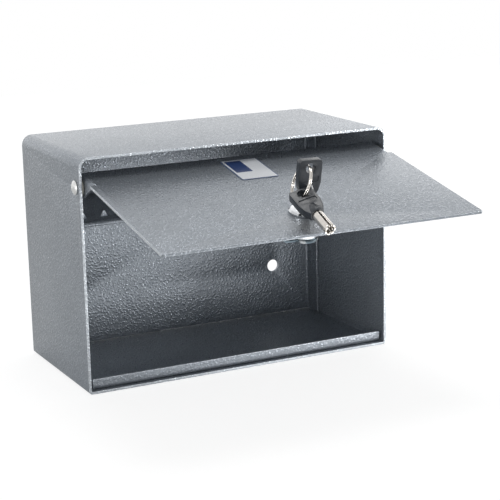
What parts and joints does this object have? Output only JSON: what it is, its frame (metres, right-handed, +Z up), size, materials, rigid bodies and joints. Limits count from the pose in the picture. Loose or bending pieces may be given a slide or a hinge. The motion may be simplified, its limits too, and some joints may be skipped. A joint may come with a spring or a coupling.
{
  "type": "key drop box",
  "caption": "Wall-mounted steel key drop box with a flip-up door, a drop slot above it, a toothed anti-fishing shelf, a sill catch and a tubular cam lock with keys on a ring.",
  "frame": {"origin": "centre of the back face, on the plane of the wall, midway between the wall holes", "axes": "+X to the right seen from the front, +Y into the wall, +Z up"},
  "size_m": [0.259, 0.2748, 0.1797],
  "materials": {
    "housing_paint": "silver grey hammertone powder coat on folded steel",
    "pan_paint": "silver grey hammertone powder coat on the back pan",
    "sill_paint": "silver grey hammertone powder coat on the sill angle",
    "shelf_paint": "silver grey hammertone powder coat on the shelf",
    "rivet_metal": "plain rivets, coated with the housing",
    "washer_steel": "zinc plated",
    "spacer_nylon": "natural white nylon",
    "door_paint": "silver grey hammertone powder coat on the door",
    "label_film": "blank label",
    "lock_chrome": "bright chromed bezel and barrel",
    "nut_steel": "zinc plated",
    "inner_brass": "turned brass",
    "spring_steel": "spring wire",
    "spindle_steel": "turned and nickel plated",
    "cam_steel": "zinc plated pressing",
    "key_tube_steel": "nickel plated tube",
    "key_head_plastic": "black moulded plastic with a satin skin",
    "ring_steel": "nickel plated spring wire"
  },
  "bodies": {
    "housing": {"housing_shell": "housing_paint", "back_pan": "pan_paint", "sill": "sill_paint", "shelf": "shelf_paint", "hinge_rivets": "rivet_metal", "hinge_washers": "washer_steel", "hinge_spacers": "spacer_nylon"},
    "door": {"door_panel": "door_paint", "label_plate": "label_film", "lock_shell": "lock_chrome", "lock_nut": "nut_steel", "tooth_washer": "washer_steel", "pin_block": "inner_brass", "driver_pins": "inner_brass", "pin_springs": "spring_steel", "retaining_pin": "spring_steel"},
    "lock_rotor": {"lock_spindle": "spindle_steel", "key_pins": "inner_brass", "stop_washer": "cam_steel", "cam": "cam_steel", "cam_washer": "washer_steel", "cam_screw": "nut_steel"},
    "key": {"key_tube": "key_tube_steel", "key_head": "key_head_plastic"},
    "ring": {"key_ring": "ring_steel"},
    "spare_key": {"spare_tube": "key_tube_steel", "spare_head": "key_head_plastic"}
  },
  "joints": [
    {"name": "door_hinge", "type": "hinge", "parent": "housing", "child": "door", "pos_m": [0, -0.115, 0.0655], "axis": [-1, 0, 0], "range_deg": [-78.7, 49.3]},
    {"name": "lock_turn", "type": "hinge", "parent": "door", "child": "lock_rotor", "pos_m": [0, -0.22561, 0.05258], "axis": [0, -0.1959, 0.9806], "range_deg": [0, 95]},
    {"name": "key_pull", "type": "slide", "parent": "lock_rotor", "child": "key", "axis": [0, -0.1959, 0.9806], "range_m": [0, 0.03]},
    {"name": "ring_swing", "type": "hinge", "parent": "key", "child": "ring", "pos_m": [0, -0.23218, 0.08543], "axis": [0.0872, 0.9769, 0.1952], "range_deg": [0, 60]},
    {"name": "spare_key_swing", "type": "hinge", "parent": "ring", "child": "spare_key", "pos_m": [-0.00937, -0.2394, 0.06679], "axis": [0.2512, 0.4501, -0.8569], "range_deg": [-3, 10]}
  ]
}
